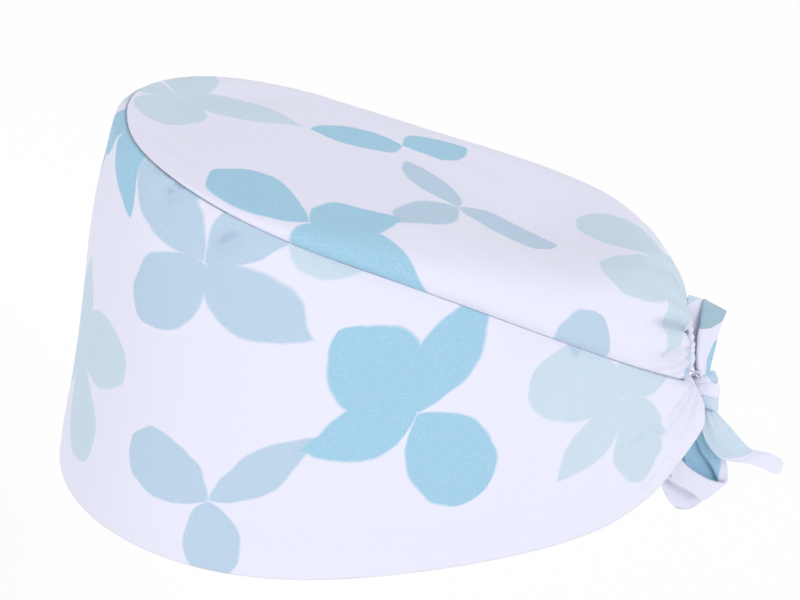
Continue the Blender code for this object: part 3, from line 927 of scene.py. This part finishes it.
# Each row holds its rails from one edge to the other: across, up, side
upperLoopSet = {
    "rails": (
        ((-3.5, 6.5, 0.3), (-1.2, 6.3, 0.2), (-2.0, 6.3, 3.0), (1.4, 6.5, 1.6)),
        ((-3.5, 11.1, 0.1), (-1.4, 11.1, -0.6), (-2.6, 11.1, 3.2), (2.2, 11.1, 1.4)),
        ((-3.7, 16.5, 0.0), (-1.4, 16.5, -0.8), (-2.7, 16.5, 3.2), (3.6, 16.5, 1.3)),
        ((-4.3, 21.1, 0.0), (-1.0, 21.1, -0.6), (-2.2, 21.1, 3.2), (4.7, 21.1, 1.2)),
        ((-5.6, 26.5, 0.1), (-0.4, 26.1, -0.3), (-1.4, 26.1, 3.0), (5.9, 25.3, 1.1)),
        ((-6.5, 31.8, 0.3), (-0.1, 30.9, 0.5), (-0.7, 30.9, 2.1), (7.0, 28.3, 1.0)),
        ((-6.7, 35.2, 0.1), (0.3, 33.6, 0.5), (-0.1, 33.7, 1.6), (7.7, 29.9, 0.6)),
        ((-6.5, 36.6, -1.2), (0.5, 34.6, -1.0), (0.2, 34.8, -0.2), (8.0, 30.6, -0.9)),
        ((-6.4, 35.6, -3.0), (0.4, 33.6, -2.8), (0.8, 33.4, -2.6), (7.6, 29.8, -2.4)),
        ((-6.4, 31.0, -3.8), (-0.6, 30.0, -3.9), (1.2, 29.6, -3.9), (6.6, 27.5, -3.5)),
        ((-6.2, 26.0, -4.2), (-1.6, 25.5, -4.6), (0.8, 25.2, -4.6), (5.4, 24.0, -4.2)),
        ((-5.5, 21.0, -4.4), (-2.0, 21.0, -5.0), (0.4, 21.0, -5.0), (4.2, 20.6, -4.6)),
        ((-5.2, 16.0, -4.4), (-2.4, 16.0, -5.0), (-0.2, 16.0, -5.0), (3.0, 16.0, -4.6)),
        ((-4.6, 11.0, -4.0), (-2.4, 11.0, -4.4), (-0.4, 11.0, -4.4), (2.0, 11.0, -4.0)),
        ((-3.4, 6.2, -3.0), (-1.8, 6.2, -3.2), (-0.2, 6.2, -3.2), (1.4, 6.2, -3.0)),
    ),
    "pleatEnds": ((0, 0.0003, 0.009), (1, 0.0004, 0.01)),
}
lowerLoopSet = {
    "rails": (
        ((-1.9, -6.5, -1.5), (-0.9, -6.2, -1.2), (0.1, -6.1, -1.2), (1.2, -6.1, -1.5)),
        ((-3.5, -11.1, -2.5), (-2.7, -11.4, -1.8), (-0.8, -11.3, -1.8), (2.3, -10.8, -2.5)),
        ((-5.8, -16.5, -3.5), (-2.0, -16.7, -3.6), (-2.9, -16.9, -1.4), (4.2, -15.7, -2.6)),
        ((-7.7, -22.3, -3.5), (0.3, -22.2, -3.8), (-0.7, -22.7, -1.3), (6.1, -21.1, -2.3)),
        ((-7.3, -28.4, -3.0), (3.3, -27.3, -3.4), (2.5, -27.9, -1.0), (8.0, -26.9, -1.6)),
        ((-2.3, -36.5, -2.0), (5.6, -32.6, -2.0), (5.0, -33.0, -0.3), (8.7, -31.1, -0.4)),
        ((0.8, -39.5, -0.5), (3.6, -37.8, -0.0), (6.2, -35.9, 0.3), (8.6, -33.8, 0.6)),
        ((-0.8, -41.5, 1.6), (1.8, -39.6, 1.9), (4.4, -37.4, 2.1), (6.9, -35.1, 2.2)),
        ((-3.5, -39.9, 2.4), (-1.7, -37.8, 2.7), (0.2, -35.9, 2.9), (2.3, -34.2, 3.0)),
        ((-6.9, -37.4, 2.6), (-5.4, -35.4, 2.9), (-3.8, -33.6, 3.1), (-2.3, -31.9, 3.2)),
        ((-11.1, -35.3, 2.2), (-9.3, -33.2, 2.5), (-7.8, -31.1, 2.7), (-6.5, -29.0, 2.8)),
        ((-15.0, -32.3, 1.0), (-13.2, -30.0, 1.3), (-11.4, -27.7, 1.5), (-9.6, -25.5, 1.8)),
        ((-16.9, -28.4, -0.8), (-15.1, -26.3, -0.5), (-13.2, -24.3, -0.3), (-11.1, -22.3, 0.0)),
        ((-14.6, -22.5, -2.2), (-12.9, -20.8, -2.1), (-11.1, -19.3, -1.9), (-9.2, -17.8, -1.6)),
        ((-9.5, -14.0, -3.0), (-8.2, -13.1, -2.9), (-6.9, -12.2, -2.7), (-5.6, -11.4, -2.6)),
        ((-4.2, -8.0, -2.8), (-3.4, -7.5, -2.7), (-2.6, -6.9, -2.5), (-1.8, -6.4, -2.4)),
    ),
    "pleatEnds": ((0, 0.0003, 0.01), (1, 0.0003, 0.008)),
}
nearTailSet = {
    "rails": (
        ((-0.4, -5.0, 2.0), (1.4, -5.6, 3.0), (3.1, -6.1, 2.2)),
        ((-1.0, -8.8, 2.6), (1.8, -8.7, 4.4), (4.8, -8.5, 2.8)),
        ((-1.2, -13.4, 3.2), (3.2, -12.6, 4.6), (7.7, -11.5, 3.2)),
        ((0.0, -18.1, 3.6), (5.2, -16.4, 4.6), (10.4, -14.4, 3.4)),
        ((2.7, -22.3, 4.0), (7.8, -20.1, 4.8), (13.1, -17.7, 3.4)),
        ((5.8, -25.5, 4.8), (10.8, -23.2, 5.0), (15.9, -20.7, 3.4)),
        ((10.4, -26.9, 6.2), (14.4, -24.8, 5.4), (18.4, -22.5, 3.2)),
        ((15.4, -27.5, 7.0), (18.2, -25.4, 5.8), (21.1, -23.1, 3.4)),
        ((20.7, -29.0, 6.6), (22.7, -26.5, 5.6), (24.8, -23.8, 3.6)),
        ((25.7, -31.1, 5.8), (26.9, -28.3, 5.2), (28.0, -25.2, 3.8)),
        ((28.4, -32.0, 5.4), (29.6, -29.0, 4.9), (30.1, -25.9, 4.0)),
    ),
    "pleatEnds": ((0, 0.0004, 0.009),),
    "roundEnd": 0.0022,
}
farTailSet = {
    "rails": (
        ((-3.0, -6.0, -4.0), (-1.8, -6.2, -4.0), (-0.6, -6.4, -3.8)),
        ((-6.0, -12.0, -5.5), (-3.8, -12.6, -5.6), (-1.5, -13.0, -5.2)),
        ((-11.0, -20.0, -6.0), (-7.5, -21.2, -6.2), (-4.0, -22.0, -5.6)),
        ((-15.5, -27.0, -5.0), (-10.6, -28.8, -5.4), (-5.5, -30.0, -5.0)),
        ((-17.7, -31.1, -3.5), (-12.4, -33.8, -4.2), (-7.0, -36.0, -3.8)),
        ((-17.1, -34.2, -3.0), (-11.0, -36.6, -4.4), (-4.0, -38.0, -3.2)),
        ((-14.9, -40.0, -2.8), (-9.0, -41.2, -4.2), (-2.2, -40.2, -3.0)),
        ((-11.4, -44.9, -2.8), (-6.6, -45.2, -3.6), (-0.8, -42.0, -3.0)),
    ),
    "pleatEnds": ((0, 0.0003, 0.009),),
    "roundEnd": 0.001,
}
knotSet = {
    # upper, middle and lower wrap, three edges each: centre across, half across, half deep, up at the
    # middle, rise to the right, rise to the front
    "wraps": (
        ((-0.9, 4.4, 4.6, 5.9, 1.3, 1.3), (-0.8, 5.2, 5.4, 4.0, 0.6, 0.9), (-0.8, 4.9, 5.2, 1.6, 0.3, 0.5)),
        ((-0.6, 5.5, 5.7, 2.6, 0.3, 0.3), (-0.5, 5.6, 6.0, 0.4, -0.3, 0.5), (-0.4, 5.2, 5.6, -2.0, -1.0, 0.6)),
        ((-0.2, 4.7, 5.1, -1.2, -1.0, 0.6), (0.2, 4.6, 5.0, -3.6, -1.3, 0.0), (1.2, 3.2, 3.6, -5.6, -1.7, -0.6)),
    ),
    "square": 2.7,
    "core": (4.2, 4.2, 5.6),
    # thin ends of the tie that come out of the casing and go under the wraps
    "strands": (((-6.0, 9.2, 2.8), (-5.0, 7.7, 3.2), (-3.3, 7.5, 4.2), (-1.9, 7.0, 4.8), (-1.0, 5.2, 4.2)),
                ((-6.3, 5.4, 1.6), (-5.2, 6.2, 2.8), (-3.6, 6.6, 3.8), (-2.4, 5.4, 3.6)),
                ((-6.3, 5.3, 1.8), (-5.4, 4.5, 3.0), (-5.6, 3.2, 3.2), (-5.2, 1.6, 2.4))),
    "strandRadius": 0.00038,
    "strandTwist": 0.28,
}


def buildWrap(index, edges, square):
    turn = np.linspace(math.pi, 3 * math.pi, 121)[:, None]
    right, front = (np.sign(side) * np.abs(side) ** (2 / square) for side in (np.sin(turn), np.cos(turn)))
    middle, half, deep, up, rightRise, frontRise = np.array(edges).T
    rows = np.stack([middle + half * right, up + rightRise * right + frontRise * front, deep * front], -1)
    # The third number is the depth toward the camera here, so the side is worked out
    rows[..., 2] = rows @ np.array([axis[0] for axis in viewAxes()])
    short = {**tieSet, "steps": 1}
    return bandFromRails("wrap%d" % index, rows, (), closed=True, wish=short, layStart=0.05 * index)


def buildStrand(index, points, wish=knotSet):
    # A thin tube laid along its points and twisted like a cord
    sides, rings = 12, 24
    path = evenRail(smoothRail(fromView(points), 8), rings + 1)
    share, ring = np.meshgrid(np.linspace(0, 1, sides + 1), np.arange(rings + 1))
    turn = (share * 2 * math.pi)[..., None]
    along = unit(np.gradient(path, axis=0))[:, None]
    side = unit(np.cross(along, np.array([0.3, 0.2, 1.0])))
    thick = wish["strandRadius"] * (1 + wish["strandTwist"] * np.cos(2 * turn + ring[..., None] * 0.9))
    place = path[:, None] + thick * (side * np.cos(turn) + np.cross(along, side) * np.sin(turn))
    strand = clothGrid("strand%d" % index, place, np.stack([share, ring / rings], -1) * 0.004 + 0.3)
    closeSeams(strand, fill=20)
    bpy.ops.object.shade_smooth()
    return strand


# Cut bits of the print on each band, and on the upper loop one patch of painted shade over its mint: tint, start
# along, start across, turn, length, width
tiePrint = {
    "upperLoopBand": (("sky", -0.01, 0.0232, -2, 0.026, 0.012), ("shadedMint", 0.02, 0.009, 36, 0.02, 0.014),
                      ("mint", 0.03, -0.001, 20, 0.011, 0.009), ("sky", 0.04, 0.001, 4, 0.026, 0.008)),
    "lowerLoopBand": (("sky", -0.006, 0.006, 4, 0.043, 0.03), ("pale", 0.062, 0.002, 20, 0.02, 0.01)),
    "nearTailBand": (("mint", -0.006, 0.006, 6, 0.034, 0.026),),
    "farTailBand": (("pale", 0.0, 0.012, -25, 0.022, 0.012),),
    "knotWraps": (("pale", 0.019, -0.001, 12, 0.014, 0.012), ("mint", 0.106, 0.003, 3, 0.024, 0.014)),
}


def buildTie():
    bands = (("upperLoopBand", upperLoopSet, "upper_loop"), ("lowerLoopBand", lowerLoopSet, "lower_loop"),
             ("nearTailBand", nearTailSet, "near_tail"), ("farTailBand", farTailSet, "far_tail"))
    pieces = [(bandFromRails(name, wish["rails"], wish["pleatEnds"], wish.get("roundEnd", 0)), node)
              for name, wish, node in bands]
    wraps = [buildWrap(i, edges, knotSet["square"]) for i, edges in enumerate(knotSet["wraps"])]
    wraps += [buildStrand(i, points) for i, points in enumerate(knotSet["strands"])]
    deselectAll()
    bpy.ops.mesh.primitive_uv_sphere_add(segments=32, ring_count=20, radius=0.001, location=tieSet["knot"],
                                         scale=knotSet["core"])
    core = bpy.context.object
    core.data.uv_layers[0].name = "clothLay"
    bpy.ops.object.transform_apply(location=True, rotation=True, scale=True)
    bpy.ops.object.shade_smooth()
    pickOnly(wraps[0])
    for other in wraps[1:] + [core]:
        other.select_set(True)
    bpy.ops.object.join()
    knot = wraps[0]
    knot.name = knot.data.name = "knotWraps"
    for piece, node in pieces + [(knot, "knot")]:
        dress(piece, scrubCotton(piece.name + "Cotton", (0, 0), 0, tiePrint[piece.name]), "tie_cotton", node)


# Gathered casing round the rear end of the crown

casingSet = {
    "radius": crownSet["casingRadius"],
    "halfWide": 0.0023,
    "halfDeep": 0.0015,
    "gap": 0.0003,
    "wave": 0.3,
    "ruffle": 0.0006,
    "droop": 0.22,  # the ring hangs lower at both sides of the knot
    "droopAt": (2.2, 0.5),
    "lay": (0.065, 0.012),  # the strip of cloth that the ring is gathered from
    "patches": (("pale", 0.036, -0.001, 10, 0.012, 0.01),),
}


def buildCasing(wish=casingSet):
    line = crownSurface(np.array([math.pi]))[0][:30, 0]
    order = np.argsort(line[:, 2])
    centre = seamCurve(np.array([math.pi]))[0, 2] + crownSet["puckerAboveSeam"]
    deselectAll()
    tube = 0.25
    bpy.ops.mesh.primitive_torus_add(major_segments=450, minor_segments=18, major_radius=1, minor_radius=tube,
                                     generate_uvs=True)
    piece = bpy.context.object
    piece.name = piece.data.name = "gatheredCasing"
    piece.data.uv_layers[0].name = "clothLay"
    spots = np.array([v.co for v in piece.data.vertices])
    turn = np.arctan2(spots[:, 0], spots[:, 1])
    outward = (np.hypot(spots[:, 0], spots[:, 1]) - 1) / tube
    raised = spots[:, 2] / tube
    phase = gatherPhase(turn)
    plump = 1 + wish["wave"] * (1.6 * np.abs(np.cos(phase / 2)) ** 0.8 - 1)
    droopAt, droopWide = wish["droopAt"]
    radius = wish["radius"] * (1 + wish["droop"] * bell(np.abs(turn) - droopAt, droopWide))
    radius = radius + wish["halfWide"] * outward * plump + wish["ruffle"] * np.sin(phase * 0.5 + 1)
    x, z = radius * np.sin(turn), centre + radius * np.cos(turn)
    side = (np.abs(x) / capForm["seamHalfWidth"]) ** capForm["seamRoundRear"]
    back = capForm["seamRear"] * (1 - side) ** (1 / capForm["seamRoundRear"]) - capForm["seamRear"]
    y = np.interp(z, line[order, 2], line[order, 1]) + back + wish["gap"]
    y = y + wish["halfDeep"] * (1 + plump * raised)
    piece.data.vertices.foreach_set("co", np.stack([x, y, z], -1).ravel())
    piece.data.update()
    layer = piece.data.uv_layers[0].data
    lay = np.empty(len(layer) * 2)
    layer.foreach_get("uv", lay)
    layer.foreach_set("uv", (lay.reshape(-1, 2) * np.array(wish["lay"])).ravel())
    closeSeams(piece, 0.000001)
    bpy.ops.object.shade_smooth()
    dress(piece, scrubCotton("casingCotton", (0, 0), 0, wish["patches"]), "printed_cotton", "rear_casing")


buildCrown()
print("crown shaped")
buildBand()
print("side band shaped")
buildCasing()
print("casing gathered")
buildTie()
print("tie knotted")
